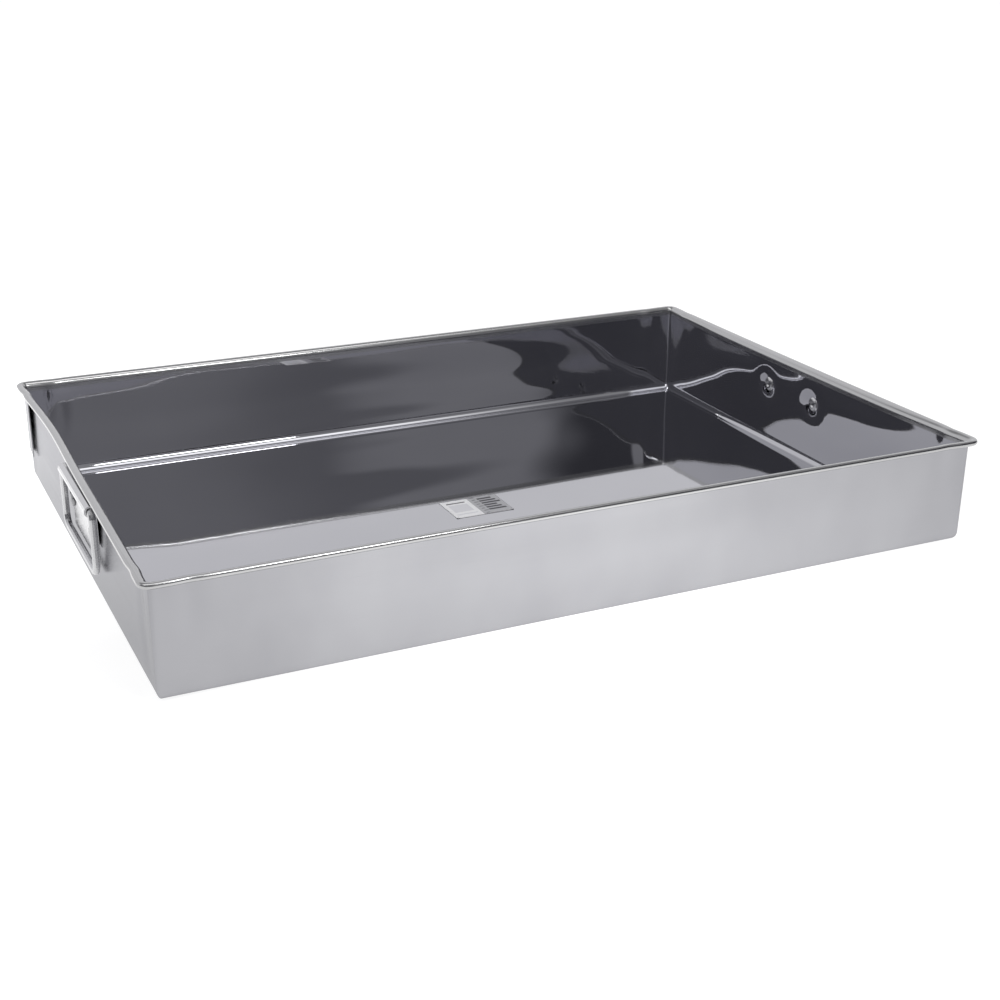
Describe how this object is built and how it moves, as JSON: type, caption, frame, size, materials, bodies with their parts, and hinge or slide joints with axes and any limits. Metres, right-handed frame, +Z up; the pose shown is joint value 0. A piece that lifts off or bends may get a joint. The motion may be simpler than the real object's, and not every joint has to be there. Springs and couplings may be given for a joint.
{
  "type": "rectangular steel tray with drop handles",
  "caption": "Shallow rectangular stainless steel tray with a wired rim and a riveted drop handle hanging on each end wall.",
  "frame": {"origin": "middle of the underside of the base", "axes": "+X along the length towards one handle, +Y across the width, +Z up out of the tray's mouth"},
  "size_m": [0.6174, 0.4334, 0.08],
  "materials": {
    "tray_steel": "mirror inside, satin outside",
    "wire_steel": "drawn wire",
    "plate_steel": "bright pressed sheet",
    "rod_steel": "drawn rod",
    "rivet_steel": "polished heads",
    "label_paper": "matt sticker"
  },
  "bodies": {
    "tray": {"tray_shell": "tray_steel", "rim_wire": "wire_steel", "label_sticker": "label_paper", "left_handle_plate": "plate_steel", "right_handle_plate": "plate_steel", "left_front_rivet": "rivet_steel", "left_back_rivet": "rivet_steel", "right_front_rivet": "rivet_steel", "right_back_rivet": "rivet_steel"},
    "left_handle": {"left_bail_handle": "rod_steel"},
    "right_handle": {"right_bail_handle": "rod_steel"}
  },
  "joints": [
    {"name": "left_handle_hinge", "type": "hinge", "parent": "tray", "child": "left_handle", "pos_m": [-0.3048, -0.022, 0.071], "axis": [0, 1, 0], "range_deg": [-2, 130]},
    {"name": "right_handle_hinge", "type": "hinge", "parent": "tray", "child": "right_handle", "pos_m": [0.3048, 0.007, 0.071], "axis": [0, -1, 0], "range_deg": [-2, 130]}
  ]
}
